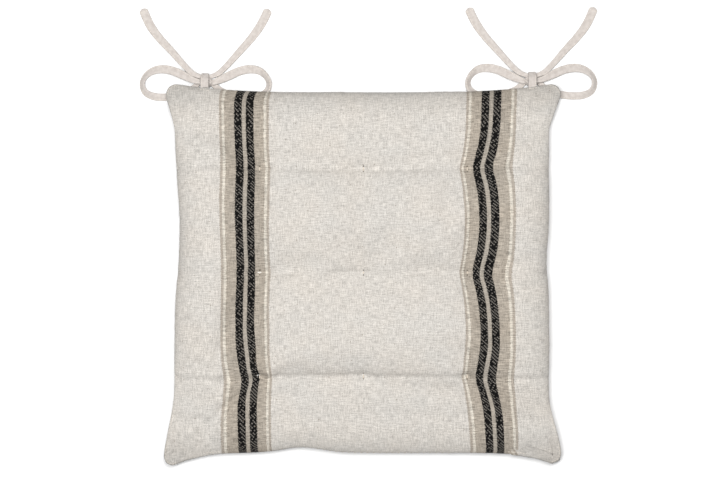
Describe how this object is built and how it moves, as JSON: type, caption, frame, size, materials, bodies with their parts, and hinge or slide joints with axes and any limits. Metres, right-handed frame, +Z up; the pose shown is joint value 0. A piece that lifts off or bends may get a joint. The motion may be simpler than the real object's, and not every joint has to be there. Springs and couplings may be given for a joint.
{
  "type": "chair seat pad",
  "caption": "Thin square chair seat pad of striped woven cloth, tufted through its soft filling, with a tie in a bow at each back corner.",
  "frame": {"origin": "middle of the underside, on the surface that the pad lies on", "axes": "+X across the pad's width, +Y towards the back edge with the ties, +Z up"},
  "size_m": [0.463, 0.4583, 0.04],
  "materials": {
    "striped_cloth": "woven slub cotton, off-white with taupe and black stripes",
    "fibre_filling": "soft white polyester fibre",
    "sewing_thread": "spun polyester thread, matt",
    "tuft_thread": "strong waxed cotton thread",
    "tie_tape": "folded and stitched cotton tape"
  },
  "bodies": {
    "pad": {"top_panel": "striped_cloth", "bottom_panel": "striped_cloth", "filling": "fibre_filling", "seam_needle_thread": "sewing_thread", "seam_bobbin_thread": "sewing_thread", "closing_stitches": "sewing_thread", "tuft_front_left": "tuft_thread", "tuft_front_centre": "tuft_thread", "tuft_front_right": "tuft_thread", "tuft_middle_left": "tuft_thread", "tuft_middle_centre": "tuft_thread", "tuft_middle_right": "tuft_thread", "tuft_back_left": "tuft_thread", "tuft_back_centre": "tuft_thread", "tuft_back_right": "tuft_thread", "left_tie_fold": "tie_tape", "left_tie_bartack": "sewing_thread", "right_tie_fold": "tie_tape", "right_tie_bartack": "sewing_thread"},
    "left_tie": {"left_tie_under_leg": "tie_tape", "left_tie_over_leg": "tie_tape", "left_tie_end_tacks": "sewing_thread"},
    "right_tie": {"right_tie_under_leg": "tie_tape", "right_tie_over_leg": "tie_tape", "right_tie_end_tacks": "sewing_thread"}
  },
  "joints": [
    {"name": "left_tie_bend", "type": "hinge", "parent": "pad", "child": "left_tie", "pos_m": [-0.159, 0.1881, 0.016], "axis": [1, 0, 0], "range_deg": [0, 90]},
    {"name": "right_tie_bend", "type": "hinge", "parent": "pad", "child": "right_tie", "pos_m": [0.169, 0.1895, 0.016], "axis": [1, 0, 0], "range_deg": [0, 90]}
  ]
}
